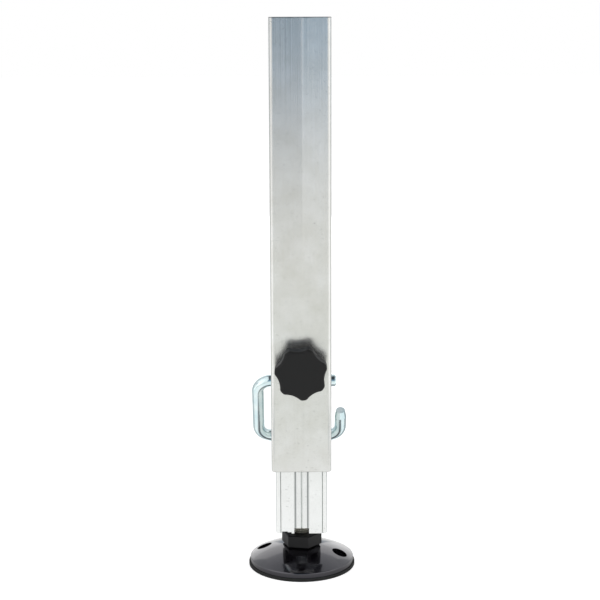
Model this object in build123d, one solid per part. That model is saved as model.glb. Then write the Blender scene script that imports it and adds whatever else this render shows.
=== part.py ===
"""Telescopic stage platform leg.

A square aluminium tube slides over a square aluminium profile. A bent drop pin crosses both,
a star knob clamps the profile through the tube's front wall, and a swivelling levelling foot
screws into the profile's lower end.

Units are millimetres. The origin is on the leg's axis at the floor, +Z is up, and the knob
faces -Y. Every moving piece is drawn with the leg closed, the knob tight and the pin hanging.
"""
import os
from math import asin, degrees, sqrt

from build123d import *

# Outer tube
TUBE_SIDE = 60.0
TUBE_WALL = 3.5
TUBE_CORNER_R = 4.0
TUBE_INNER_CORNER_R = 1.5
TUBE_LENGTH = 447.5
TUBE_END_CHAMFER = 0.4

# Inner leg, an extruded profile with a groove at the front and at the back
LEG_CLEARANCE = 0.5
LEG_CORNER_R = 5.0
LEG_LENGTH = 490.0
LEG_SHOWN = 65.9
LEG_TOP_BRIDGE = 40.85
LEG_WALL = 3.5
GROOVE_WIDTH = 15.0
GROOVE_SIDE_WALL = 5.0
CORE_WALL = 2.95
CORE_BORE_R = 7.0
TAP_RUNOUT = 15.0
SCORE_WIDTH = 0.8
SCORE_DEPTH = 1.4
FLOOR_SCORE_WIDTH = 1.6
FLOOR_SCORE_DEPTH = 1.6
END_STEP_WIDTH = 9.5
END_STEP_HEIGHT = 2.1
END_STEP_FROM_GROOVE = 2.7

# Drop pin, one bent rod
PIN_ROD_R = 6.0
PIN_ABOVE_TUBE_END = 86.9
PIN_HOLE_CLEARANCE = 0.25
PIN_SLOT_CLEARANCE = 0.35
PIN_TIP_SHOWN = 5.0
PIN_HANDLE_GAP = 8.0
PIN_HOOK_GAP = 4.3
PIN_LEG_SPACING = 77.0
PIN_HOOK_LENGTH = 35.6
PIN_BEND_R = 14.0
PIN_REST_GAP = 0.3
PIN_TIP_CHAMFER = 1.2
PIN_HOOK_TAPER = 1.4
PIN_HOOK_TAPER_LENGTH = 8.0

# Star knob and clamp
KNOB_ABOVE_TUBE_END = 107.2
KNOB_TIP_R = 26.0
KNOB_SCALLOP_DEPTH = 3.3
KNOB_SCALLOP_R = 21.0
KNOB_LOBES = 7
KNOB_FIRST_LOBE_DEG = -84.5
KNOB_TIP_FILLET = 4.5
KNOB_GRIP_HEIGHT = 18.0
KNOB_FRONT_FILLET = 2.4
KNOB_BACK_FILLET = 1.4
KNOB_HUB_R = 12.5
KNOB_HUB_HEIGHT = 9.5
KNOB_HUB_GAP = 0.5
CLAMP_SCREW_R = 5.0
CLAMP_SCREW_IN_KNOB = 20.0
CLAMP_THREAD_CLEARANCE = 0.05
CLAMP_TRAVEL = 4.5
CLAMP_POINT_R = 3.0
CLAMP_POINT_LENGTH = 1.5
CLAMP_POINT_CLEARANCE = 0.05
CLAMP_PAD_SIDE_GAP = 1.0
CLAMP_PAD_THICKNESS = 3.2
CLAMP_PAD_GAP = 0.05
NUT_FLANGE_R = 9.0
NUT_FLANGE_THICKNESS = 1.2
NUT_SIDE_GAP = 0.35
NUT_BULGE = 0.15
NUT_BULGE_LENGTH = 3.0
NUT_END_GAP = 1.2

# Levelling foot
FOOT_PAD_LIP = 1.4
FOOT_PAD_HOLE_R = 24.0
FOOT_PAD_THICKNESS = 3.0
FOOT_PAD_EDGE = 0.6
BASE_R = 52.9
BASE_RIM_HEIGHT = 5.0
BASE_RIM_FILLET = 1.2
BASE_DOME_RISE = 12.2
BASE_DOME_BULGE = 1.5
BASE_TOP_R = 19.0
BASE_WALL = 4.0
BASE_HUB_R = 15.0
BASE_HUB_LIFT = 2.2
BASE_RIBS = 8
BASE_RIB_THICKNESS = 3.0
FIXING_HOLE_R = 7.5
FIXING_BOSS_WALL = 3.0
FIXING_FROM_RIM = 12.9
FIXING_HOLES = 2
FIXING_ANGLE_DEG = -14.5
WASHER_R = 13.5
WASHER_THICKNESS = 1.3
WASHER_CLEARANCE = 0.3
HEX_FLATS = 36.0
HEX_HEIGHT = 12.6
HEX_CORNER_DEG = 48.5
HEX_EDGE = 0.8
SPINDLE_R = 8.0
SPINDLE_SHOWN = 6.5
SPINDLE_IN_LEG = 83.5
SPINDLE_THREAD_CLEARANCE = 0.05
SPINDLE_CHAMFER = 1.5
JOURNAL_R = 7.0
JOURNAL_CLEARANCE = 0.05
JOURNAL_TAIL = 1.5
RING_GROOVE_DEPTH = 0.8
RING_OUTER_R = 10.0
RING_THICKNESS = 1.2
RING_GAP = 5.0
RING_CLEARANCE = 0.1

# Heights, stacked from the floor
BASE_BOTTOM_Z = FOOT_PAD_THICKNESS
RIM_TOP_Z = BASE_BOTTOM_Z + BASE_RIM_HEIGHT
BASE_TOP_Z = RIM_TOP_Z + BASE_DOME_RISE
HEX_BOTTOM_Z = BASE_TOP_Z + WASHER_THICKNESS
HEX_TOP_Z = HEX_BOTTOM_Z + HEX_HEIGHT
LEG_BOTTOM_Z = HEX_TOP_Z + SPINDLE_SHOWN
TUBE_BOTTOM_Z = LEG_BOTTOM_Z + LEG_SHOWN
PIN_Z = TUBE_BOTTOM_Z + PIN_ABOVE_TUBE_END
KNOB_Z = TUBE_BOTTOM_Z + KNOB_ABOVE_TUBE_END

# Sizes that follow from the ones above
TUBE_HALF = TUBE_SIDE / 2
TUBE_INSIDE = TUBE_SIDE - 2 * TUBE_WALL
LEG_SIDE = TUBE_INSIDE - 2 * LEG_CLEARANCE
LEG_HALF = LEG_SIDE / 2
PIN_SLOT_R = PIN_ROD_R + PIN_SLOT_CLEARANCE
LEG_TRAVEL = LEG_LENGTH - LEG_SHOWN - PIN_ABOVE_TUBE_END - PIN_SLOT_R - LEG_TOP_BRIDGE
TAP_R = SPINDLE_R + SPINDLE_THREAD_CLEARANCE
TAP_DEPTH = SPINDLE_IN_LEG + SPINDLE_SHOWN + TAP_RUNOUT
GROOVE_FLOOR = TAP_R + CORE_WALL
GROOVE_DEPTH = LEG_HALF - GROOVE_FLOOR
NUT_SHANK_R = GROOVE_WIDTH / 2 - NUT_SIDE_GAP - NUT_BULGE
CLAMP_PAD_R = GROOVE_WIDTH / 2 - CLAMP_PAD_SIDE_GAP
FOOT_PAD_R = BASE_R + FOOT_PAD_LIP
FIXING_RADIUS = BASE_R - FIXING_FROM_RIM

# Distances in front of the leg's axis, along -Y
PAD_BACK = GROOVE_FLOOR + CLAMP_PAD_GAP
PAD_FRONT = PAD_BACK + CLAMP_PAD_THICKNESS
SCREW_SHOULDER = PAD_FRONT + CLAMP_PAD_GAP
NUT_FRONT = TUBE_HALF + NUT_FLANGE_THICKNESS
NUT_END = PAD_FRONT + CLAMP_TRAVEL + NUT_END_GAP
KNOB_BACK = NUT_FRONT + KNOB_HUB_GAP
GRIP_BACK = KNOB_BACK + KNOB_HUB_HEIGHT


def bar(radius, low, high):
    """Return a round bar on the leg's axis between two heights."""
    return Pos(0, 0, low) * Cylinder(radius, high - low, align=(Align.CENTER, Align.CENTER, Align.MIN))


def front_bar(radius, near, far):
    """Return a round bar on the knob's axis between two distances in front of the leg's axis."""
    plane = Plane(origin=(0, -near, KNOB_Z), x_dir=(1, 0, 0), z_dir=(0, -1, 0))
    return plane * Cylinder(radius, far - near, align=(Align.CENTER, Align.CENTER, Align.MIN))


def outer_tube():
    """Square tube with a hole for the drop pin in each side and one for the clamp nut in front."""
    outside = RectangleRounded(TUBE_SIDE, TUBE_SIDE, TUBE_CORNER_R)
    inside = RectangleRounded(TUBE_INSIDE, TUBE_INSIDE, TUBE_INNER_CORNER_R)
    body = Pos(0, 0, TUBE_BOTTOM_Z) * extrude(outside, TUBE_LENGTH)
    ends = body.edges().group_by(Axis.Z)
    body = chamfer(ends[0] + ends[-1], TUBE_END_CHAMFER)
    body -= Pos(0, 0, TUBE_BOTTOM_Z) * extrude(inside, TUBE_LENGTH)
    pin_hole = Cylinder(PIN_ROD_R + PIN_HOLE_CLEARANCE, TUBE_SIDE, rotation=(0, 90, 0))
    body -= Pos(0, 0, PIN_Z) * pin_hole
    return body - front_bar(NUT_SHANK_R, 0, TUBE_HALF)


def score(x, y, width, depth):
    """Return the section of a fine V line cut into a face that lies at y, towards the axis."""
    inward = -1 if y > 0 else 1
    corners = [(x - width / 2, y), (x + width / 2, y), (x, y + inward * depth)]
    return make_face(Polyline(*corners, close=True))


def leg_section():
    """Section of the inner leg: two grooves, two closed chambers, a core bore and score lines."""
    section = RectangleRounded(LEG_SIDE, LEG_SIDE, LEG_CORNER_R)
    chamber_from = GROOVE_WIDTH / 2 + GROOVE_SIDE_WALL
    chamber_width = LEG_HALF - LEG_WALL - chamber_from
    chamber = RectangleRounded(chamber_width, LEG_SIDE - 2 * LEG_WALL, LEG_WALL / 2)
    for side in (-1, 1):
        section -= Pos(side * (chamber_from + chamber_width / 2), 0) * chamber
        section -= Pos(0, side * (LEG_HALF - GROOVE_DEPTH / 2)) * Rectangle(GROOVE_WIDTH, GROOVE_DEPTH)
        section -= score(0, side * GROOVE_FLOOR, FLOOR_SCORE_WIDTH, FLOOR_SCORE_DEPTH)
        for x in (LEG_CORNER_R - LEG_HALF, LEG_HALF - LEG_CORNER_R):
            section -= score(x, side * LEG_HALF, SCORE_WIDTH, SCORE_DEPTH)
    return section - Circle(CORE_BORE_R)


def inner_leg():
    """Extruded leg with a tapped lower end, a long closed slot for the pin and a stepped end."""
    body = Pos(0, 0, LEG_BOTTOM_Z) * extrude(leg_section(), LEG_LENGTH)
    body -= bar(TAP_R, LEG_BOTTOM_Z, LEG_BOTTOM_Z + TAP_DEPTH)
    slot = SlotCenterToCenter(LEG_TRAVEL, 2 * PIN_SLOT_R, rotation=90)
    slot_plane = Plane(origin=(-LEG_SIDE / 2, 0, PIN_Z + LEG_TRAVEL / 2), x_dir=(0, 1, 0), z_dir=(1, 0, 0))
    body -= extrude(slot_plane * slot, LEG_SIDE)
    step_x = -(GROOVE_WIDTH / 2 + END_STEP_FROM_GROOVE + END_STEP_WIDTH / 2)
    step = Box(END_STEP_WIDTH, LEG_WALL, END_STEP_HEIGHT, align=(Align.CENTER, Align.MIN, Align.MIN))
    return body - Pos(step_x, -LEG_HALF, LEG_BOTTOM_Z) * step


def drop_pin():
    """Bent rod: a straight leg through both tubes, a handle, a return behind the tube and a hook.

    It is drawn flat with the straight leg along X, then tilted back until the return leg lies
    beside the tube's rear face.
    """
    tip_x = TUBE_HALF + PIN_TIP_SHOWN
    handle_x = -(TUBE_HALF + PIN_HANDLE_GAP + PIN_ROD_R)
    hook_x = TUBE_HALF + PIN_HOOK_GAP + PIN_ROD_R
    hook_z = PIN_HOOK_LENGTH - PIN_LEG_SPACING
    route = [
        (tip_x, 0, 0),
        (handle_x, 0, 0),
        (handle_x, 0, -PIN_LEG_SPACING),
        (hook_x, 0, -PIN_LEG_SPACING),
        (hook_x, 0, hook_z),
    ]
    path = FilletPolyline(*route, radius=PIN_BEND_R)
    section = Plane(origin=route[0], z_dir=(-1, 0, 0)) * Circle(PIN_ROD_R)
    rod = sweep(section, path)
    tip_end = rod.faces().filter_by(GeomType.PLANE).sort_by(Axis.Z)[-1]
    rod = chamfer(tip_end.edges(), PIN_TIP_CHAMFER)
    hook_end = rod.faces().filter_by(GeomType.PLANE).sort_by(Axis.Z)[0]
    rod = chamfer(hook_end.edges(), PIN_HOOK_TAPER, PIN_HOOK_TAPER_LENGTH, reference=hook_end)
    tilt = degrees(asin((TUBE_HALF + PIN_ROD_R + PIN_REST_GAP) / PIN_LEG_SPACING))
    return Pos(0, 0, PIN_Z) * Rot(tilt, 0, 0) * rod


def clamp_nut():
    """Flanged blind nut in the tube's front wall; its inner end runs in the leg's front groove."""
    wall_inside = TUBE_HALF - TUBE_WALL
    nut = front_bar(NUT_FLANGE_R, TUBE_HALF, NUT_FRONT)
    nut += front_bar(NUT_SHANK_R, NUT_END, TUBE_HALF)
    nut += front_bar(NUT_SHANK_R + NUT_BULGE, wall_inside - NUT_BULGE_LENGTH, wall_inside)
    return nut - front_bar(CLAMP_SCREW_R + CLAMP_THREAD_CLEARANCE, NUT_END, NUT_FRONT)


def star_outline():
    """Star of shallow scallops cut from a circle, with rounded lobes."""
    half_pitch = 180 / KNOB_LOBES
    scallop_at = KNOB_TIP_R - KNOB_SCALLOP_DEPTH + KNOB_SCALLOP_R
    valleys = PolarLocations(scallop_at, KNOB_LOBES, KNOB_FIRST_LOBE_DEG + half_pitch)
    star = Circle(KNOB_TIP_R) - valleys * Circle(KNOB_SCALLOP_R)
    return fillet(star.vertices(), KNOB_TIP_FILLET)


def star_knob():
    """Moulded grip with a round hub behind it and a blind hole for the clamp screw."""
    plane = Plane(origin=(0, -GRIP_BACK, KNOB_Z), x_dir=(1, 0, 0), z_dir=(0, -1, 0))
    grip = extrude(star_outline(), KNOB_GRIP_HEIGHT)
    grip = fillet(grip.faces().sort_by(Axis.Z)[-1].edges(), KNOB_FRONT_FILLET)
    grip = fillet(grip.faces().sort_by(Axis.Z)[0].edges(), KNOB_BACK_FILLET)
    knob = plane * grip + front_bar(KNOB_HUB_R, KNOB_BACK, GRIP_BACK)
    return knob - front_bar(CLAMP_SCREW_R, KNOB_BACK, KNOB_BACK + CLAMP_SCREW_IN_KNOB)


def clamp_screw():
    """Stud moulded into the knob, with a turned point that carries the clamp pad."""
    screw = front_bar(CLAMP_SCREW_R, SCREW_SHOULDER, KNOB_BACK + CLAMP_SCREW_IN_KNOB)
    return screw + front_bar(CLAMP_POINT_R, SCREW_SHOULDER - CLAMP_POINT_LENGTH, SCREW_SHOULDER)


def clamp_pad():
    """Thrust pad between the screw and the groove floor; the screw turns in it, it does not."""
    pad = front_bar(CLAMP_PAD_R, PAD_BACK, PAD_FRONT)
    socket_from = SCREW_SHOULDER - CLAMP_POINT_LENGTH - CLAMP_POINT_CLEARANCE
    return pad - front_bar(CLAMP_POINT_R + CLAMP_POINT_CLEARANCE, socket_from, PAD_FRONT)


def dome_solid(radius, rim_z, top_r, top_z, bottom_z):
    """Return a closed dome: a straight rim, a gently bulging arc and a flat top."""
    span_r = radius - top_r
    span_z = top_z - rim_z
    span = sqrt(span_r**2 + span_z**2)
    middle_r = (radius + top_r) / 2 + BASE_DOME_BULGE * span_z / span
    middle_z = (rim_z + top_z) / 2 + BASE_DOME_BULGE * span_r / span
    outline = Polyline((top_r, top_z), (0, top_z), (0, bottom_z), (radius, bottom_z), (radius, rim_z))
    arc = ThreePointArc((radius, rim_z), (middle_r, middle_z), (top_r, top_z))
    face = make_face(Plane.XZ * (outline + arc))
    return revolve(face, Axis.Z)


def fixing_bars(radius, low, high):
    """Return upright bars at the fixing holes."""
    places = PolarLocations(FIXING_RADIUS, FIXING_HOLES, FIXING_ANGLE_DEG)
    return [place * bar(radius, low, high) for place in places]


def foot_base():
    """Moulded domed base: hollow below, with a hub, ribs and a boss round each fixing hole."""
    base = dome_solid(BASE_R, RIM_TOP_Z, BASE_TOP_R, BASE_TOP_Z, BASE_BOTTOM_Z)
    circles = base.edges().filter_by(GeomType.CIRCLE)
    rim_edge = circles.filter_by(lambda edge: abs(edge.center().Z - RIM_TOP_Z) < 0.01)
    base = fillet(rim_edge, BASE_RIM_FILLET)
    ceiling_z = BASE_TOP_Z - BASE_WALL
    hollow = dome_solid(BASE_R - BASE_WALL, RIM_TOP_Z - BASE_WALL, BASE_TOP_R, ceiling_z, BASE_BOTTOM_Z)
    hollow -= bar(BASE_HUB_R, BASE_BOTTOM_Z, ceiling_z)
    rib = Box(BASE_R, BASE_RIB_THICKNESS, ceiling_z, align=(Align.MIN, Align.CENTER, Align.MIN))
    for place in PolarLocations(0, BASE_RIBS, FIXING_ANGLE_DEG):
        hollow -= place * rib
    for boss in fixing_bars(FIXING_HOLE_R + FIXING_BOSS_WALL, BASE_BOTTOM_Z, ceiling_z):
        hollow -= boss
    base -= hollow
    base -= bar(FOOT_PAD_HOLE_R, BASE_BOTTOM_Z, BASE_BOTTOM_Z + BASE_HUB_LIFT)
    for hole in fixing_bars(FIXING_HOLE_R, BASE_BOTTOM_Z, BASE_TOP_Z):
        base -= hole
    return base - bar(JOURNAL_R + JOURNAL_CLEARANCE, BASE_BOTTOM_Z, BASE_TOP_Z)


def foot_pad():
    """Anti-slip ring under the base, pierced at the fixing holes."""
    pad = bar(FOOT_PAD_R, 0, FOOT_PAD_THICKNESS)
    pad = fillet(pad.edges().group_by(Axis.Z)[-1], FOOT_PAD_EDGE)
    pad -= bar(FOOT_PAD_HOLE_R, 0, FOOT_PAD_THICKNESS)
    for hole in fixing_bars(FIXING_HOLE_R, 0, FOOT_PAD_THICKNESS):
        pad -= hole
    return pad


def thrust_washer():
    """Flat washer between the base and the hexagon."""
    washer = bar(WASHER_R, BASE_TOP_Z, HEX_BOTTOM_Z)
    return washer - bar(JOURNAL_R + WASHER_CLEARANCE, BASE_TOP_Z, HEX_BOTTOM_Z)


def hex_collar():
    """Hexagon moulded round the spindle, turned by hand or with a spanner."""
    hexagon = RegularPolygon(HEX_FLATS / 2, 6, major_radius=False, rotation=HEX_CORNER_DEG)
    collar = extrude(hexagon, HEX_HEIGHT)
    rims = collar.edges().group_by(Axis.Z)
    collar = chamfer(rims[0] + rims[-1], HEX_EDGE)
    return Pos(0, 0, HEX_BOTTOM_Z) * collar - bar(SPINDLE_R, HEX_BOTTOM_Z, HEX_TOP_Z)


def spindle():
    """Threaded rod drawn at its outside diameter, with a journal and a ring groove below."""
    hub_bottom = BASE_BOTTOM_Z + BASE_HUB_LIFT
    groove_low = hub_bottom - RING_THICKNESS - 2 * RING_CLEARANCE
    rod = bar(SPINDLE_R, HEX_BOTTOM_Z, LEG_BOTTOM_Z + SPINDLE_IN_LEG)
    rod = chamfer(rod.edges().group_by(Axis.Z)[-1], SPINDLE_CHAMFER)
    rod += bar(JOURNAL_R, groove_low - JOURNAL_TAIL, HEX_BOTTOM_Z)
    groove_floor = bar(JOURNAL_R - RING_GROOVE_DEPTH, groove_low, hub_bottom)
    return rod - (bar(JOURNAL_R, groove_low, hub_bottom) - groove_floor)


def retaining_ring():
    """Open spring ring in the journal's groove, holding the base on the spindle."""
    high = BASE_BOTTOM_Z + BASE_HUB_LIFT - RING_CLEARANCE
    low = high - RING_THICKNESS
    ring = bar(RING_OUTER_R, low, high) - bar(JOURNAL_R - RING_GROOVE_DEPTH, low, high)
    mouth = Box(RING_OUTER_R, RING_GAP, RING_THICKNESS, align=(Align.MIN, Align.CENTER, Align.MIN))
    return ring - Pos(0, 0, low) * mouth


PIECES = {
    "outer_tube": outer_tube,
    "inner_leg": inner_leg,
    "drop_pin": drop_pin,
    "clamp_nut": clamp_nut,
    "star_knob": star_knob,
    "clamp_screw": clamp_screw,
    "clamp_pad": clamp_pad,
    "foot_base": foot_base,
    "foot_pad": foot_pad,
    "thrust_washer": thrust_washer,
    "hex_collar": hex_collar,
    "spindle": spindle,
    "retaining_ring": retaining_ring,
}

os.makedirs("parts", exist_ok=True)
for name, make in PIECES.items():
    export_step(make(), f"parts/{name}.step")
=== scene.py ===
# %% [markdown]
# # A telescopic stage platform leg
# The real leg is two square aluminium extrusions, one sliding in the other, a black star knob that
# clamps them, a bent zinc plated drop pin that crosses both, and a black levelling foot on a
# screw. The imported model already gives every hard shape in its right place, in metres. Nothing of
# it is moved here: each node is either given the finish of its real material, or replaced by a
# finer surface that keeps its form.

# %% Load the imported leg
import math

import bpy
import numpy as np
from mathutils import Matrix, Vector


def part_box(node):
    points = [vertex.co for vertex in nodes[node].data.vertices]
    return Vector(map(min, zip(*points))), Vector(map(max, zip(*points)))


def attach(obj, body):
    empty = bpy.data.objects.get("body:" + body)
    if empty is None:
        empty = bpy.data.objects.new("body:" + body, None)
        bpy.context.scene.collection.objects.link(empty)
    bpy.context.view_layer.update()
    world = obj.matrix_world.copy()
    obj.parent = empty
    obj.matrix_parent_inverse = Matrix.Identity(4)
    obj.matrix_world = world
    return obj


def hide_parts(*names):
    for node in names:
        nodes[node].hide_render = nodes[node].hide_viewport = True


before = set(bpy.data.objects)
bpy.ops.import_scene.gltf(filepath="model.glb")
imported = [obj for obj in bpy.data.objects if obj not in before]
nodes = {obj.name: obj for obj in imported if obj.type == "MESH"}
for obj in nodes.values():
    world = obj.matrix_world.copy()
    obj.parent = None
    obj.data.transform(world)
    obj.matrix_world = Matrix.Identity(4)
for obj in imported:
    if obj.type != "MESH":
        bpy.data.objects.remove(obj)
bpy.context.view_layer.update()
MM = 0.001
print("packed nodes:", ", ".join(sorted(nodes)))

# %% [markdown]
# ## Colours and nodes
# A colour picked from a picture is an sRGB value, and a shader works in linear light, so one
# function turns a hex value to linear. A material is a small graph of nodes. They could be joined
# one line at a time, but then the graph is hard to read, so one function adds a node with its
# settings and whatever feeds it.

# %% Helpers for colours and nodes
def linear(hex_colour):
    """An sRGB hex colour as linear red, green, blue and alpha."""
    srgb = np.array([int(hex_colour[i:i + 2], 16) for i in (1, 3, 5)]) / 255
    light = np.where(srgb <= 0.04045, srgb / 12.92, ((srgb + 0.055) / 1.055) ** 2.4)
    return (*light.tolist(), 1.0)


def set_inputs(tree, node, inputs):
    """Set a node's inputs by name: a socket is linked to its input, any other value is a constant."""
    for name, value in inputs.items():
        if isinstance(value, bpy.types.NodeSocket):
            tree.links.new(value, node.inputs[name])
        else:
            node.inputs[name].default_value = value


def add_node(tree, kind, inputs=None, **settings):
    """Add one node: settings are its properties, inputs are values or the sockets that feed it."""
    node = tree.nodes.new(kind)
    for name, value in settings.items():
        setattr(node, name, value)
    set_inputs(tree, node, inputs or {})
    return node


def start_material(name):
    """A new material with its node tree and its surface shader."""
    material = bpy.data.materials.new(name)
    material.use_nodes = True
    return material, material.node_tree, material.node_tree.nodes["Principled BSDF"]


def set_stops(ramp, stops):
    """Give a colour ramp its stops: rows of (position, sRGB hex colour), in rising order."""
    elements = ramp.color_ramp.elements
    for element, (position, colour) in zip(elements, (stops[0], stops[-1])):
        element.position, element.color = position, linear(colour)
    for position, colour in stops[1:-1]:
        elements.new(position).color = linear(colour)


print("white is", linear("#ffffff"))

# %% [markdown]
# A surface often needs to know which way it looks, and a finished colour often needs a mark or a
# stain on top. The first is read from the surface's normal. The second is a share that the colour
# is multiplied by, so that a recipe can serve two pieces and each can still carry its own marks.

# %% Helpers for facing and for marks
def upward(tree):
    """How far a surface looks up: the Z part of its normal, from -1 to 1."""
    normal = add_node(tree, "ShaderNodeNewGeometry").outputs["Normal"]
    return add_node(tree, "ShaderNodeSeparateXYZ", {"Vector": normal}).outputs["Z"]


def darken(material, share):
    """Multiply a material's colour by a share: the colour's own feed goes through one more node."""
    tree = material.node_tree
    base = tree.nodes["Principled BSDF"].inputs["Base Color"]
    both = add_node(tree, "ShaderNodeMix", {
        "Factor": 1.0, "A": base.links[0].from_socket, "B": share},
        data_type="RGBA", blend_type="MULTIPLY")
    tree.links.new(both.outputs["Result"], base)


SAWN = 0.9
print("a face is a sawn end where its normal rises or falls by more than", SAWN)

# %% [markdown]
# ## Mill finish aluminium
# Both tubes are extruded through a die and left as they come out: a pale grey metal with fine
# lines along its length where the die dragged, soft cloudy stains, small nicks of handling, and
# sawn ends. The lines could be modelled, but they are a few hundredths of a millimetre deep, so
# they are noise stretched along Z, which drives the tone, the roughness and a slight bump. The
# sawn ends are found by the way the surface faces, and get the arcs of a saw blade.

# %% Extruded aluminium
# Real die lines and saw arcs are finer, and are drawn this coarse so that they show.
DIE_LINE_WIDTH, DIE_LINE_LENGTH = 1.0 * MM, 400 * MM
SAW_ARC_SPACING = 3 * math.pi * MM
STAIN_SIZE = 26 * MM
NICK_LENGTH, NICK_WIDTH = 3 * MM, 1.2 * MM
# The lines are plain on the upper part of the leg and rubbed faint below, where hands hold it.
RUBBED_BELOW, FRESH_ABOVE = 300 * MM, 480 * MM
# The wave texture draws this many rings in each unit of its coordinates.
RINGS_A_UNIT = 20 / (2 * math.pi)


def extruded_aluminium(name, dull, bright, roughness):
    """Mill finish extrusion: lines along Z, cloudy stains, nicks of handling and sawn ends.

    Tone is stains plus freshness x (lines less a half), where freshness rises along the leg.
    """
    material, tree, shader = start_material(name)
    place = add_node(tree, "ShaderNodeTexCoord").outputs["Object"]
    height = add_node(tree, "ShaderNodeSeparateXYZ", {"Vector": place}).outputs["Z"]

    drawn = add_node(tree, "ShaderNodeMapping", {
        "Vector": place, "Scale": (1 / DIE_LINE_WIDTH, 1 / DIE_LINE_WIDTH, 1 / DIE_LINE_LENGTH)})
    lines = add_node(tree, "ShaderNodeTexNoise", {
        "Vector": drawn.outputs["Vector"], "Scale": 1.0, "Detail": 4.0}).outputs["Fac"]
    swing = add_node(tree, "ShaderNodeMath", {0: lines, 1: 0.5}, operation="SUBTRACT").outputs[0]
    freshness = add_node(tree, "ShaderNodeMapRange", {
        "Value": height, "From Min": RUBBED_BELOW, "From Max": FRESH_ABOVE,
        "To Min": 0.3, "To Max": 1.2}).outputs[0]

    # Stains are warm where they are dull and cold where they are bright.
    stains = add_node(tree, "ShaderNodeTexNoise", {
        "Vector": place, "Scale": 1 / STAIN_SIZE, "Detail": 6.0, "Roughness": 0.6}).outputs["Fac"]
    tone = add_node(tree, "ShaderNodeMath", {
        0: swing, 1: freshness, 2: stains}, operation="MULTIPLY_ADD").outputs[0]
    share = add_node(tree, "ShaderNodeMapRange", {
        "Value": tone, "From Min": 0.22, "From Max": 0.78}).outputs[0]
    colour = add_node(tree, "ShaderNodeMix", {
        "Factor": share, "A": linear(dull), "B": linear(bright)}, data_type="RGBA")

    # Nicks are sparse dark marks that lie across the die lines.
    strewn = add_node(tree, "ShaderNodeMapping", {
        "Vector": place, "Scale": (1 / NICK_LENGTH, 1 / NICK_LENGTH, 1 / NICK_WIDTH),
        "Rotation": (0.4, 0.4, 0)})
    nicks = add_node(tree, "ShaderNodeTexNoise", {
        "Vector": strewn.outputs["Vector"], "Scale": 1.0, "Detail": 1.0}).outputs["Fac"]
    unmarked = add_node(tree, "ShaderNodeMapRange", {
        "Value": nicks, "From Min": 0.68, "From Max": 0.76, "To Min": 1.0, "To Max": 0.78}).outputs[0]

    # The saw's arcs run round a point outside the tube, as far off as the blade's hub.
    steep = add_node(tree, "ShaderNodeMath", {0: upward(tree)}, operation="ABSOLUTE").outputs[0]
    sawn = add_node(tree, "ShaderNodeMath", {0: steep, 1: SAWN}, operation="GREATER_THAN").outputs[0]
    blade = add_node(tree, "ShaderNodeMapping", {"Vector": place, "Location": (0.09, 0.16, 0)})
    arcs = add_node(tree, "ShaderNodeTexWave", {
        "Vector": blade.outputs["Vector"], "Scale": 1 / (SAW_ARC_SPACING * RINGS_A_UNIT),
        "Distortion": 1.2, "Detail Scale": 4.0}, wave_type="RINGS", rings_direction="Z")
    relief = add_node(tree, "ShaderNodeMix", {
        "Factor": sawn, "A": lines, "B": arcs.outputs["Fac"]}, data_type="FLOAT").outputs[0]
    bump = add_node(tree, "ShaderNodeBump", {
        "Height": relief, "Strength": 0.5, "Distance": 0.03 * MM})

    drawn_rough = add_node(tree, "ShaderNodeMapRange", {
        "Value": lines, "From Min": 0.3, "From Max": 0.7,
        "To Min": roughness - 0.04, "To Max": roughness + 0.05}).outputs[0]
    rough = add_node(tree, "ShaderNodeMath", {
        0: sawn, 1: 0.16, 2: drawn_rough}, operation="MULTIPLY_ADD").outputs[0]
    # A trace of dull oxide scatters light, so the metal is not quite all metallic.
    set_inputs(tree, shader, {
        "Metallic": 0.9, "Anisotropic": 0.45, "Base Color": colour.outputs["Result"],
        "Roughness": rough, "Normal": bump.outputs["Normal"]})
    darken(material, unmarked)
    return material


tube_aluminium = extruded_aluminium("mill_finish_aluminium_tube", "#dcdcd7", "#ecedec", 0.21)
leg_aluminium = extruded_aluminium("mill_finish_aluminium_leg", "#eef0ee", "#f8faf9", 0.22)
print("made", tube_aluminium.name, "and", leg_aluminium.name)

# %% [markdown]
# A nick in the die leaves one bright line along the tube's front. The metal left of it is painted a
# little darker towards the top: painted shade, which stands for the darker room it mirrors there. The
# line is a ridge in the bump, and the painted shade is a ramp across the line times a ramp along the
# tube. Both stay on the front face.

# %% Die mark of the tube, and painted shade left of it
DIE_MARK_X, DIE_MARK_REACH = 1.9 * MM, 0.18 * MM
LEFT_SHADE_SHARE, LEFT_SHADE_BORDER = 0.16, 0.4 * MM
FRONT_FACE_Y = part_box("outer_tube")[0].y + 2 * MM
tube_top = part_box("outer_tube")[1].z
tree = tube_aluminium.node_tree
shader = tree.nodes["Principled BSDF"]
place = add_node(tree, "ShaderNodeTexCoord").outputs["Object"]
axes = add_node(tree, "ShaderNodeSeparateXYZ", {"Vector": place})
front = add_node(tree, "ShaderNodeMath", {
    0: axes.outputs["Y"], 1: FRONT_FACE_Y}, operation="LESS_THAN").outputs[0]
off = add_node(tree, "ShaderNodeMath", {
    0: axes.outputs["X"], 1: DIE_MARK_X}, operation="SUBTRACT").outputs[0]
away = add_node(tree, "ShaderNodeMath", {0: off}, operation="ABSOLUTE").outputs[0]
ridge = add_node(tree, "ShaderNodeMapRange", {
    "Value": away, "From Max": DIE_MARK_REACH, "To Min": 1.0, "To Max": 0.0},
    interpolation_type="SMOOTHSTEP").outputs[0]
mark = add_node(tree, "ShaderNodeMath", {0: ridge, 1: front}, operation="MULTIPLY").outputs[0]
plain_normal = shader.inputs["Normal"].links[0].from_socket
marked = add_node(tree, "ShaderNodeBump", {
    "Height": mark, "Distance": 0.03 * MM, "Normal": plain_normal})
set_inputs(tree, shader, {"Normal": marked.outputs["Normal"]})

# Painted shade: the front face left of the die mark darkens towards the top.
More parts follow.
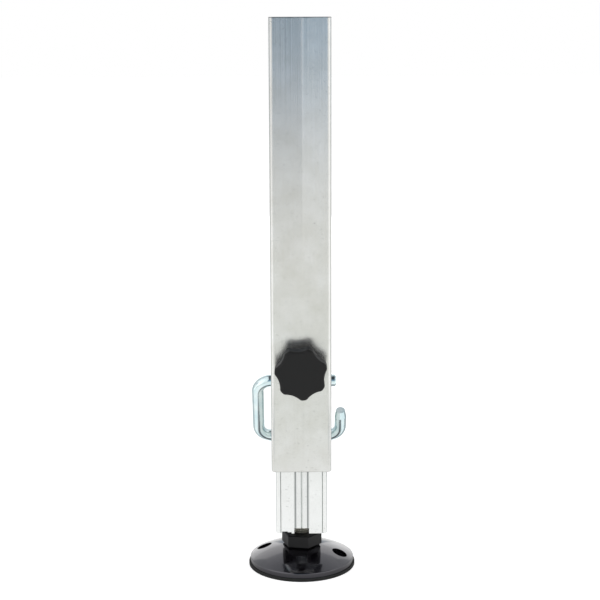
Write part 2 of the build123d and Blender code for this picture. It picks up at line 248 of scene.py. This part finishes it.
left = add_node(tree, "ShaderNodeMapRange", {
    "Value": off, "From Min": -LEFT_SHADE_BORDER, "From Max": LEFT_SHADE_BORDER,
    "To Min": 1.0, "To Max": 0.0}).outputs[0]
upper = add_node(tree, "ShaderNodeMapRange", {
    "Value": axes.outputs["Z"],
    "From Min": tube_top - 240 * MM, "From Max": tube_top - 100 * MM}).outputs[0]
left_shade = add_node(tree, "ShaderNodeMath", {0: left, 1: upper}, operation="MULTIPLY").outputs[0]
left_shade = add_node(tree, "ShaderNodeMath", {0: left_shade, 1: front}, operation="MULTIPLY").outputs[0]
left_shade_share = add_node(tree, "ShaderNodeMath", {
    0: left_shade, 1: -LEFT_SHADE_SHARE, 2: 1.0}, operation="MULTIPLY_ADD").outputs[0]
darken(tube_aluminium, left_shade_share)
print("die mark", DIE_MARK_X / MM, "mm right of the middle")

# %% [markdown]
# A dark ragged line of painted shadow, the shadow of a saw burr, runs along the tube's very top. It is a
# ramp over the distance from the
# end, measured in heights of the burr, which a noise changes every few millimetres. The sawn face
# itself is fresh metal, so only the walls below it carry the line.

# %% Painted shadow at the sawn edge of the tube
BURR_HEIGHT, BURR_LENGTH = 1.8 * MM, 4 * MM
BURR_SHADE = 0.45
ragged = add_node(tree, "ShaderNodeTexNoise", {
    "Vector": place, "Scale": 1 / BURR_LENGTH, "Detail": 3.0}).outputs["Fac"]
burr = add_node(tree, "ShaderNodeMath", {0: ragged, 1: BURR_HEIGHT}, operation="MULTIPLY").outputs[0]
drop = add_node(tree, "ShaderNodeMath", {
    0: tube_top, 1: axes.outputs["Z"]}, operation="SUBTRACT").outputs[0]
burrs_down = add_node(tree, "ShaderNodeMath", {0: drop, 1: burr}, operation="DIVIDE").outputs[0]
# Painted shadow: the colour falls to BURR_SHADE just under the top.
burr_shadow_share = add_node(tree, "ShaderNodeMapRange", {
    "Value": burrs_down, "From Min": 0.6, "From Max": 1.2,
    "To Min": BURR_SHADE, "To Max": 1.0}).outputs[0]
sawn_face = add_node(tree, "ShaderNodeMath", {
    0: upward(tree), 1: SAWN}, operation="GREATER_THAN").outputs[0]
burr_shadow_share = add_node(tree, "ShaderNodeMath", {0: burr_shadow_share, 1: sawn_face}, operation="MAXIMUM").outputs[0]
darken(tube_aluminium, burr_shadow_share)
print("tube ends at", round(tube_top / MM, 1), "mm")

# %% [markdown]
# The inner leg's front groove carries painted shade: a dark line along each side of its floor, where
# shade falls by the walls, and a fainter band between it and each wall. A ramp over the distance from
# the middle gives both. Faces that look down, at the lower end, carry painted shadow, so they are much
# darker.

# %% Painted shade in the leg's grooves
GROOVE_SHADE_REACH = 10 * MM
# Shares of the reach from the leg's middle, and the painted shade there.
GROOVE_SHADE_TONES = (
    (0.53, "#ffffff"), (0.57, "#a2a5a6"), (0.64, "#9da0a1"),
    (0.68, "#dcdedd"), (0.74, "#d4d6d6"), (0.76, "#ffffff"))
tree = leg_aluminium.node_tree
place = add_node(tree, "ShaderNodeTexCoord").outputs["Object"]
across = add_node(tree, "ShaderNodeSeparateXYZ", {"Vector": place}).outputs["X"]
aside = add_node(tree, "ShaderNodeMath", {0: across}, operation="ABSOLUTE").outputs[0]
reached = add_node(tree, "ShaderNodeMath", {0: aside, 1: GROOVE_SHADE_REACH}, operation="DIVIDE").outputs[0]
groove_shade = add_node(tree, "ShaderNodeValToRGB", {"Fac": reached})
set_stops(groove_shade, GROOVE_SHADE_TONES)
# Painted shadow: faces that look down fall to a quarter of their colour.
underside_shadow = add_node(tree, "ShaderNodeMapRange", {
    "Value": upward(tree), "From Min": -0.95, "From Max": -0.8,
    "To Min": 0.25, "To Max": 1.0}).outputs[0]
darken(leg_aluminium, groove_shade.outputs["Color"])
darken(leg_aluminium, underside_shadow)
print("grease up to", GROOVE_SHADE_TONES[-1][0] * GROOVE_SHADE_REACH / MM, "mm off the middle")

# %% [markdown]
# ## Plated steel and brass
# The drop pin is bent from steel bar and bright zinc plated, with the blue passivation that gives
# new fixings their cold tint. The plating is not even: it clouds slightly and its sheen changes
# over a few millimetres. Two noises, one for the tint and one for the grain, give both. The screws'
# duller plating and the turned brass of the clamp pad are the same recipe with other values.

# %% Blue zinc plating, the duller plating of the screws, and brass
CLOUD_SIZE = 12 * MM


def small_metal(name, cold, warm, roughness, grain_mm):
    """Plated or turned metal: a tint that clouds slowly and a fine grain that breaks up its gloss."""
    material, tree, shader = start_material(name)
    place = add_node(tree, "ShaderNodeTexCoord").outputs["Object"]
    clouds = add_node(tree, "ShaderNodeTexNoise", {
        "Vector": place, "Scale": 1 / CLOUD_SIZE, "Detail": 2.0}).outputs["Fac"]
    tint = add_node(tree, "ShaderNodeMapRange", {
        "Value": clouds, "From Min": 0.35, "From Max": 0.65}).outputs[0]
    colour = add_node(tree, "ShaderNodeMix", {
        "Factor": tint, "A": linear(cold), "B": linear(warm)}, data_type="RGBA")
    grain = add_node(tree, "ShaderNodeTexNoise", {
        "Vector": place, "Scale": 1 / (grain_mm * MM), "Detail": 3.0}).outputs["Fac"]
    rough = add_node(tree, "ShaderNodeMapRange", {
        "Value": grain, "From Min": 0.3, "From Max": 0.7,
        "To Min": roughness - 0.05, "To Max": roughness + 0.07}).outputs[0]
    bump = add_node(tree, "ShaderNodeBump", {
        "Height": grain, "Strength": 0.3, "Distance": 0.02 * MM})
    set_inputs(tree, shader, {
        "Metallic": 1.0, "Base Color": colour.outputs["Result"],
        "Roughness": rough, "Normal": bump.outputs["Normal"]})
    return material


pin_zinc = small_metal("blue_zinc_plated_steel", "#d9eef2", "#eaf8f9", 0.14, 0.8)
screw_zinc = small_metal("dull_zinc_plated_steel", "#b7b5ab", "#c8c7be", 0.3, 0.5)
pad_brass = small_metal("turned_brass", "#d8bf7d", "#e0ca8e", 0.28, 0.5)
print("made", pin_zinc.name, screw_zinc.name, pad_brass.name)

# %% [markdown]
# ## Moulded black plastics and rubber
# The knob is glass filled nylon from a spark eroded mould: almost black, with a fine even grain
# that kills the gloss. The hexagon is the same plastic from a smoother tool. The domed base comes
# from a polished tool, so it mirrors the room, with a trace of handling scuffs. The ring under it
# is rubber. All are one recipe: a grain that drives the bump, and wear that drives the roughness.

# %% Moulded finishes
WEAR_SIZE = 9 * MM


def moulded(name, dark, worn, roughness, spread, grain_mm, grain_depth_mm,
            gloss=0.5, tint="#ffffff", coat=0.0):
    """Moulded surface: grain of a real size in the bump, and slow wear in the tone and roughness."""
    material, tree, shader = start_material(name)
    place = add_node(tree, "ShaderNodeTexCoord").outputs["Object"]
    grain = add_node(tree, "ShaderNodeTexNoise", {
        "Vector": place, "Scale": 1 / (grain_mm * MM), "Detail": 2.0}).outputs["Fac"]
    wear = add_node(tree, "ShaderNodeTexNoise", {
        "Vector": place, "Scale": 1 / WEAR_SIZE, "Detail": 5.0}).outputs["Fac"]
    worn_share = add_node(tree, "ShaderNodeMapRange", {
        "Value": wear, "From Min": 0.42, "From Max": 0.72}).outputs[0]
    colour = add_node(tree, "ShaderNodeMix", {
        "Factor": worn_share, "A": linear(dark), "B": linear(worn)}, data_type="RGBA")
    rough = add_node(tree, "ShaderNodeMapRange", {
        "Value": wear, "From Min": 0.35, "From Max": 0.7,
        "To Min": roughness, "To Max": roughness + spread}).outputs[0]
    bump = add_node(tree, "ShaderNodeBump", {
        "Height": grain, "Strength": 0.5, "Distance": grain_depth_mm * MM})
    set_inputs(tree, shader, {
        "IOR": 1.5, "Specular IOR Level": gloss, "Specular Tint": linear(tint), "Coat Weight": coat,
        "Base Color": colour.outputs["Result"], "Roughness": rough, "Normal": bump.outputs["Normal"]})
    return material


knob_nylon = moulded("matt_glass_filled_nylon", "#151515", "#191919", 0.55, 0.1, 0.5, 0.03, 0.33)
hex_nylon = moulded("satin_glass_filled_nylon", "#0b0b0c", "#0f0f10", 0.42, 0.12, 0.6, 0.02, 0.35)
# The base's lilac specular tint is a painted tint of the room in its reflections.
base_abs = moulded("glossy_black_abs", "#0a090c", "#0f0e12", 0.1, 0.1, 1.5, 0.003, 1.0, "#f3f0ff", 1.0)
foot_rubber = moulded("matt_black_rubber", "#1c1d1d", "#252626", 0.75, 0.1, 0.8, 0.05)
print("made", knob_nylon.name, hex_nylon.name, base_abs.name, foot_rubber.name)

# %% [markdown]
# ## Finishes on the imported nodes
# A node whose shape is right keeps its mesh and only gets a better material in its slot.

# %% Give each node its finish
finishes = {
    "outer_tube": tube_aluminium,
    "inner_leg": leg_aluminium,
    "drop_pin": pin_zinc,
    "clamp_nut": screw_zinc,
    "star_knob": knob_nylon,
    "clamp_pad": pad_brass,
    "foot_base": base_abs,
    "foot_pad": foot_rubber,
    "thrust_washer": hex_nylon,
    "hex_collar": hex_nylon,
    "retaining_ring": screw_zinc,
}
for name, material in finishes.items():
    nodes[name].data.materials.clear()
    nodes[name].data.materials.append(material)
print("finished", len(finishes), "nodes")

# %% [markdown]
# ## Screw threads
# The foot's spindle is an M16 thread of 2 mm pitch and the clamp screw an M10 thread of 1.5 mm
# pitch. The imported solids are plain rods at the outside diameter. A thread could be a profile
# screwed along a helix, but its ends would then need cutting. Here the rod is one sheet of two
# parameters, turn and station: at each station the radius is the rod's, less the depth of the
# thread groove at that turn, so ends, journal and thread come out as one closed surface.

# %% A turned rod with a thread
THREAD_DEPTH = 0.61
STATIONS_A_PITCH = 16
TURN_COLUMNS = 48


def groove_depth(phase):
    """Share of the thread's depth cut away at a phase of one turn.

    A ridge falls evenly from its crest to its root; the crest is flat for an eighth of the pitch
    and the root for a quarter, as on a standard metric thread.
    """
    ridge = np.abs(2 * (phase % 1) - 1)
    return 1 - np.clip((ridge - 0.25) / 0.625, 0, 1)


def threaded_rod(stations, pitch):
    """Points of a rod: stations are rows of (radius, distance along, share of thread).

    Radius is the station's radius less share x thread depth x pitch x groove depth, where the
    groove's phase is distance / pitch less turn / full turn, which climbs as a right-hand thread.
    """
    radius, along, share = (column[:, None] for column in np.asarray(stations, float).T)
    turn = np.linspace(0, 2 * np.pi, TURN_COLUMNS, endpoint=False)[None, :]
    cut = groove_depth(along / pitch - turn / (2 * np.pi))
    around = radius - share * THREAD_DEPTH * pitch * cut
    return np.stack([around * np.cos(turn), around * np.sin(turn), along + 0 * turn], axis=-1)


def thread_stations(radius, start, end, pitch, run_out, chamfer):
    """Stations of a threaded stretch, with the thread fading in over run_out.

    Over the end's chamfer the radius shrinks as fast as the end comes near, and the thread's share
    falls with it, so that the roots stay at one depth.
    """
    along = np.linspace(start, end, int((end - start) / pitch * STATIONS_A_PITCH))
    share = np.clip((along - start) / run_out, 0, 1)
    outside = np.minimum(radius, radius - chamfer + np.clip(end - along, 0, None))
    tapered = np.clip(1 - (radius - outside) / (THREAD_DEPTH * pitch), 0, 1)
    return np.stack([outside, along, share * tapered], axis=-1).tolist()


print("groove depth at root and crest:", groove_depth(np.array([0.5, 0.0])))

# %% [markdown]
# The grid of points becomes a mesh in one step: each point is joined to the next in its row and to
# the row above, the last column to the first, and the end rows are capped. Faces are smooth, apart
# from edges sharper than 35 degrees, so that the thread's flanks stay crisp.

# %% Mesh of a closed surface
SHARP_EDGE = math.radians(35)


def closed_mesh(name, points, material):
    """Object from a grid of points in millimetres: columns close on themselves, end rows are capped."""
    rows, columns, _ = points.shape
    index = np.arange(rows * columns).reshape(rows, columns)
    beside = np.roll(index, -1, axis=1)
    quads = np.stack([index[:-1], beside[:-1], beside[1:], index[1:]], axis=-1).reshape(-1, 4)
    caps = [index[0, ::-1].tolist(), index[-1].tolist()]
    mesh = bpy.data.meshes.new(name)
    mesh.from_pydata((points.reshape(-1, 3) * MM).tolist(), [], quads.tolist() + caps)
    mesh.polygons.foreach_set("use_smooth", np.ones(len(mesh.polygons), bool))
    mesh.set_sharp_from_angle(angle=SHARP_EDGE)
    mesh.materials.append(material)
    piece = bpy.data.objects.new(name, mesh)
    bpy.context.scene.collection.objects.link(piece)
    return piece


print("edges stay sharp over", round(math.degrees(SHARP_EDGE)), "degrees")

# %% [markdown]
# The spindle runs through the hexagon down to a plain journal with a groove for its retaining
# ring, on which the base turns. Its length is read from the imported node, so that it stays in place.

# %% Foot spindle
SPINDLE_RADIUS, SPINDLE_PITCH = 8.0, 2.0
INTO_HEX, SPINDLE_RUN_OUT, SPINDLE_CHAMFER = 2, 1.5, 1.5
JOURNAL_RADIUS, GROOVE_RADIUS = 7.0, 6.2
JOURNAL_CHAMFER, GROOVE_PLAY = 0.4, 0.1
low, high = (corner.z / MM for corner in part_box("spindle"))
hex_low, hex_high = (corner.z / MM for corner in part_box("hex_collar"))
ring_low, ring_high = (corner.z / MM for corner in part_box("retaining_ring"))
groove_low, groove_high = ring_low - GROOVE_PLAY, ring_high + GROOVE_PLAY
journal = [
    (JOURNAL_RADIUS - JOURNAL_CHAMFER, low, 0), (JOURNAL_RADIUS, low + JOURNAL_CHAMFER, 0),
    (JOURNAL_RADIUS, groove_low, 0), (GROOVE_RADIUS, groove_low, 0),
    (GROOVE_RADIUS, groove_high, 0), (JOURNAL_RADIUS, groove_high, 0),
    (JOURNAL_RADIUS, hex_low, 0), (SPINDLE_RADIUS, hex_low, 0),
]
spindle_thread = thread_stations(
    SPINDLE_RADIUS, hex_high - INTO_HEX, high, SPINDLE_PITCH, SPINDLE_RUN_OUT, SPINDLE_CHAMFER)
spindle_points = threaded_rod(journal + spindle_thread, SPINDLE_PITCH)
spindle = closed_mesh("threaded_spindle", spindle_points, screw_zinc)
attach(spindle, "spindle")
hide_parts("spindle")
print("spindle from", round(low, 1), "to", round(high, 1), "mm,", len(spindle.data.polygons), "faces")

# %% [markdown]
# The clamp screw is moulded into the knob and runs through the nut in the tube's wall. It lies
# along -Y, so the rod is worked out along its own axis and its coordinates are then swapped: the
# distance along becomes -Y, and the turn stays counter-clockwise as seen from the knob.

# %% Clamp screw
SCREW_RADIUS, SCREW_PITCH = 5.0, 1.5
POINT_RADIUS, POINT_LENGTH, POINT_CHAMFER = 3.0, 1.5, 0.3
THREAD_START, INTO_KNOB, SCREW_RUN_OUT = 1.6, 3, 1.0
near, far = (-corner.y / MM for corner in reversed(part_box("clamp_screw")))
knob_z = sum(corner.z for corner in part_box("clamp_screw")) / 2 / MM
knob_back = -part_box("star_knob")[1].y / MM
point_end = near + POINT_LENGTH
point = [
    (POINT_RADIUS - POINT_CHAMFER, near, 0), (POINT_RADIUS, near + POINT_CHAMFER, 0),
    (POINT_RADIUS, point_end, 0), (SCREW_RADIUS - 1, point_end, 0),
]
screw_thread = thread_stations(
    SCREW_RADIUS, near + THREAD_START, knob_back + INTO_KNOB, SCREW_PITCH, SCREW_RUN_OUT, chamfer=0.0)
along_own_axis = threaded_rod(point + screw_thread + [(SCREW_RADIUS, far, 0)], SCREW_PITCH)
sideways, upwards, outwards = np.moveaxis(along_own_axis, -1, 0)
screw_points = np.stack([sideways, -outwards, knob_z + upwards], axis=-1)
clamp_screw = closed_mesh("threaded_clamp_screw", screw_points, screw_zinc)
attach(clamp_screw, "knob")
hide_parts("clamp_screw")
print("clamp screw from", round(near, 1), "to", round(far, 1), "mm in front of the leg's axis")

# %% [markdown]
# ## Studio
# The leg was photographed on white, with soft light from both sides and above. Polished metal shows
# the room, so the room matters as much as the metal: the floor is grey right under the foot, white
# around it and dimmer further off, and behind the camera lies the dark end of the studio, which
# gives the tube its grey blue top. The floor is white to the camera and keeps the leg's shadow. It
# rides on the foot, so that a leg drawn out still stands on it.

# %% Floor
FLOOR_REACH, FLOOR_BELOW = 12.0, 0.2 * MM
# Metres from the leg, and the tone that a mirror sees there; the grey under and just round the foot is a
# painted shadow of it.
FLOOR_TONES = (
    (0.0624, "#606264"), (0.0768, "#ffffff"), (0.24, "#ffffff"), (0.6, "#eef0ec"),
    (1.44, "#eff0ec"), (2.04, "#f1f1ee"), (3.0, "#efefec"), (4.8, "#f1f1f1"),
    (6.6, "#e7e8ed"), (9.6, "#bec7d1"), (11.4, "#a3b3c3"))


def sheet_object(name, points, material):
    """Object from a grid of points in metres, for the floor or a card: each point is joined to the next of
    row and column.
    """
    rows, columns, _ = points.shape
    index = np.arange(rows * columns).reshape(rows, columns)
    quads = np.stack([index[:-1, :-1], index[:-1, 1:], index[1:, 1:], index[1:, :-1]], axis=-1)
    mesh = bpy.data.meshes.new(name)
    mesh.from_pydata(points.reshape(-1, 3).tolist(), [], quads.reshape(-1, 4).tolist())
    mesh.materials.append(material)
    piece = bpy.data.objects.new(name, mesh)
    bpy.context.scene.collection.objects.link(piece)
    return piece


floor_paper, tree, _ = start_material("white_paper_floor")
place = add_node(tree, "ShaderNodeTexCoord").outputs["Object"]
distance = add_node(tree, "ShaderNodeVectorMath", {0: place}, operation="LENGTH").outputs["Value"]
reached = add_node(tree, "ShaderNodeMath", {0: distance, 1: FLOOR_REACH}, operation="DIVIDE").outputs[0]
dimming = add_node(tree, "ShaderNodeValToRGB", {"Fac": reached})
set_stops(dimming, [(metres / FLOOR_REACH, colour) for metres, colour in FLOOR_TONES])
path = add_node(tree, "ShaderNodeLightPath")
lit = add_node(tree, "ShaderNodeBsdfDiffuse", {"Color": linear("#f4f4f4")}).outputs[0]
lift = add_node(tree, "ShaderNodeEmission", {"Color": linear("#ffffff"), "Strength": 0.5}).outputs[0]
seen = add_node(tree, "ShaderNodeAddShader", {0: lit, 1: lift}).outputs[0]
mirrored = add_node(tree, "ShaderNodeEmission", {"Color": dimming.outputs["Color"]}).outputs[0]
plain = add_node(tree, "ShaderNodeMixShader", {
    0: path.outputs["Is Camera Ray"], 1: lit, 2: seen}).outputs[0]
surface = add_node(tree, "ShaderNodeMixShader", {
    0: path.outputs["Is Glossy Ray"], 1: plain, 2: mirrored}).outputs[0]
set_inputs(tree, tree.nodes["Material Output"], {"Surface": surface})
span = np.linspace(-FLOOR_REACH, FLOOR_REACH, 13)
floor_points = np.stack([*np.meshgrid(span, span), np.full((13, 13), -FLOOR_BELOW)], axis=-1)
floor = sheet_object("paper_floor", floor_points, floor_paper)
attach(floor, "foot")
print("floor", floor.dimensions[:])

# %% [markdown]
# The rest of the room is made of cards that only reflections see, because they must not shade the
# leg or show in a picture. A card glows in one tone, or dims upwards. It is flat, or part of a
# barrel vault over the leg.

# %% Cards that only reflections see
def reflection_card(name, points, tone, top_tone=None, top_height=1.0, glow=1.0):
    """Card that glows in one tone, or from tone at the floor to top_tone at top_height."""
    material, tree, _ = start_material(name + "_paint")
    light = add_node(tree, "ShaderNodeEmission", {"Color": linear(tone), "Strength": glow})
    if top_tone:
        place = add_node(tree, "ShaderNodeTexCoord").outputs["Object"]
        rise = add_node(tree, "ShaderNodeSeparateXYZ", {"Vector": place}).outputs["Z"]
        share = add_node(tree, "ShaderNodeMapRange", {"Value": rise, "From Max": top_height}).outputs[0]
        shade = add_node(tree, "ShaderNodeMix", {
            "Factor": share, "A": linear(tone), "B": linear(top_tone)}, data_type="RGBA")
        set_inputs(tree, light, {"Color": shade.outputs["Result"]})
    set_inputs(tree, tree.nodes["Material Output"], {"Surface": light.outputs[0]})
    card = sheet_object(name, points, material)
    card.visible_camera = False
    card.visible_diffuse = False
    card.visible_shadow = False
    return card


def flat_card(corner, across, along):
    """Corners of a flat card in metres: corner plus 0 or 1 of across plus 0 or 1 of along."""
    share = np.array([0.0, 1.0])
    return (np.array(corner) + share[None, :, None] * np.array(across)
            + share[:, None, None] * np.array(along))


def barrel(start, end, radius=3.0, left=-2.5, right=2.5):
    """Part of a barrel vault: degrees run from the front over the top to the back.

    A point is at minus radius x cosine along Y and radius x sine along Z, from left to right in X.
    """
    turn = np.radians(np.linspace(start, end, 13))[:, None]
    along = np.array([[left, right]])
    return np.stack([
        along + 0 * turn, -radius * np.cos(turn) + 0 * along, radius * np.sin(turn) + 0 * along], axis=-1)


print("a vault's strip has", barrel(0, 90).shape[0], "rows of points")

# %% [markdown]
# The dark end of the studio is a tall curved screen 11 m in front of the leg, behind the camera.
# A vault hangs over the leg, dark in front and pale behind with two dark beams under it, and the
# domed base mirrors it.

# %% Studio end and vault
SCREEN_AWAY, SCREEN_TOP = 11.0, 7.0
sweep = np.radians(np.linspace(-18, 16, 9))[None, :]
lean = np.radians(np.linspace(0, 62, 9))[:, None]
screen_points = SCREEN_AWAY * np.stack([
    np.sin(sweep) * np.cos(lean), -np.cos(sweep) * np.cos(lean), np.sin(lean) + 0 * sweep], axis=-1)
dark_and_pale = [
    reflection_card("dim_studio_end", screen_points, "#92afc8", "#383d44", SCREEN_TOP),
    reflection_card("dark_vault", barrel(46, 101, left=-0.75), "#3c3f44"),
    reflection_card("pale_vault", barrel(101, 138), "#ffffff", "#c0c2c5", top_height=3.0),
    reflection_card("left_vault_beam", barrel(101, 117, 2.95, left=-0.8, right=-0.27), "#2a2c30"),
    reflection_card("right_vault_beam", barrel(101, 117, 2.95, left=0.32, right=0.85), "#2a2c30"),
]
print("studio end and vault:", [card.name for card in dark_and_pale])

# %% [markdown]
# Walls that dim upwards, and white panels between them, give the tube's other faces and its corners
# their light. Grey flags behind, and white and grey mats on the floor, draw the lines that give a
# polished edge its shape. The left and right ones mirror each other, apart from the rear mats' tone.

# %% Walls, panels, flags and mats
PANEL_GLOW = 1.2
walls = {
    "left_wall": ((-3.2, 0.6, 0.0), (0, -1.2, 0)),
    "right_wall": ((3.2, -0.6, 0.0), (0, 1.2, 0)),
    "back_wall": ((-0.5, 3.2, 0.0), (1.0, 0, 0)),
}
for name, (corner, across) in walls.items():
    wall = flat_card(corner, across, (0, 0, 1.2))
    reflection_card(name, wall, "#fdfdfb", "#b4bec8", top_height=0.75)
for name, side, rear_tone in (("left", -1, "#c4c7c9"), ("right", 1, "#a4a8ab")):
    panel = flat_card((side * 1.0, -1.4, 0.0), (side * 0.65, 0.95, 0), (0, 0, 1.6))
    reflection_card(name + "_panel", panel, "#ffffff", glow=PANEL_GLOW)
    far_panel = flat_card((side * 0.5, 3.1, 0.0), (side * 1.6, -0.7, 0), (0, 0, 1.2))
    reflection_card(name + "_far_panel", far_panel, "#ffffff", glow=PANEL_GLOW)
    flag = flat_card((side * 1.35, 0.35, 0.0), (-side * 0.6, 0.9, 0), (0, 0, 1.3))
    reflection_card(name + "_flag", flag, "#c8cacc")
    grey_mat = flat_card((side * 0.14, -0.52, 0.001), (side * 0.42, 0.42, 0), (side * 0.1, -0.1, 0))
    reflection_card(name + "_grey_mat", grey_mat, "#bcc1c3")
    white_mat = flat_card((side * 0.45, -0.8, 0.0006), (side * 2.1, -1.0, 0), (0, 1.0, 0))
    reflection_card(name + "_white_mat", white_mat, "#ffffff", glow=PANEL_GLOW)
    rear_mat = flat_card((side * 0.05, 0.04, 0.001), (side * 1.2, 0.33, 0), (side * 0.4, 1.0, 0))
    reflection_card(name + "_rear_mat", rear_mat, rear_tone)

# %% [markdown]
# The lamps are softboxes: large and even, so that shadows stay soft. A mirrored lamp adds its light
# to that of whatever stands behind it, which would burn the metal out, so mirrors don't see the
# lamps, and the white panels stand in for them there.

# %% Softboxes
def softbox(name, place, aim, size):
    """Area lamp of a given size whose face is as bright as white paper: its power is pi x its area."""
    lamp = bpy.data.lights.new(name, "AREA")
    lamp.shape = "RECTANGLE"
    lamp.size, lamp.size_y = size
    lamp.energy = math.pi * size[0] * size[1]
    holder = bpy.data.objects.new(name, lamp)
    bpy.context.scene.collection.objects.link(holder)
    holder.location = place
    away = Vector(place) - Vector(aim)
    holder.rotation_euler = away.to_track_quat("Z", "Y").to_euler()
    holder.visible_glossy = False
    return holder


softbox("left_softbox", (-1.6, -0.35, 0.75), (0, 0, 0.4), (1.2, 1.9))
softbox("right_softbox", (1.6, -0.35, 0.75), (0, 0, 0.4), (1.2, 1.9))
softbox("top_softbox", (0.0, -0.5, 2.0), (0, 0, 0.2), (1.7, 0.9))
softbox("back_softbox", (0.0, 2.6, 0.55), (0, 0, 0.3), (4.0, 1.0))

# %% [markdown]
# The world fills in the shadows, and is plain white where a picture, a mirror or glass sees it.

# %% World
FILL = 0.6
world = bpy.data.worlds.new("white_studio")
bpy.context.scene.world = world
world.use_nodes = True
tree = world.node_tree
path = add_node(tree, "ShaderNodeLightPath")
seen = add_node(tree, "ShaderNodeMath", {
    0: path.outputs["Is Camera Ray"], 1: path.outputs["Is Glossy Ray"]},
    operation="MAXIMUM").outputs[0]
seen = add_node(tree, "ShaderNodeMath", {
    0: seen, 1: path.outputs["Is Transmission Ray"]}, operation="MAXIMUM").outputs[0]
fill = add_node(tree, "ShaderNodeBackground", {"Color": linear("#ffffff"), "Strength": FILL}).outputs[0]
white = add_node(tree, "ShaderNodeBackground", {"Color": linear("#ffffff"), "Strength": 1.0}).outputs[0]
sky = add_node(tree, "ShaderNodeMixShader", {0: seen, 1: fill, 2: white}).outputs[0]
set_inputs(tree, tree.nodes["World Output"], {"Surface": sky})
print("world", world.name, "fills in at", FILL)

# %% [markdown]
# ## Camera
# The camera stands level with the tube's top, about 1.4 m away, and looks down by eleven degrees.
# The picture is 600 pixels square; lens, shift and the slight lean come from the tube's edges.

# %% Camera
PICTURE = 600.0
FOCAL_PIXELS = 1446.2
AXIS_COLUMN, AXIS_ROW = 299.8, 294.0
CAMERA_AWAY, CAMERA_HEIGHT = 1.4172, 0.5551
LOOK_DOWN, LEAN = math.radians(10.896), math.radians(0.216)
camera_data = bpy.data.cameras.new("camera")
camera_data.sensor_width = 36.0
camera_data.lens = FOCAL_PIXELS / PICTURE * camera_data.sensor_width
camera_data.shift_x = (PICTURE / 2 - AXIS_COLUMN) / PICTURE
camera_data.shift_y = (AXIS_ROW - PICTURE / 2) / PICTURE
camera_data.clip_end = 100
camera = bpy.data.objects.new("camera", camera_data)
bpy.context.scene.collection.objects.link(camera)
camera.location = (0, -CAMERA_AWAY, CAMERA_HEIGHT)
camera.rotation_euler = (math.pi / 2 - LOOK_DOWN, LEAN, 0)
bpy.context.scene.camera = camera
bpy.context.scene.view_settings.view_transform = "Standard"
print("lens", round(camera_data.lens, 1), "mm")
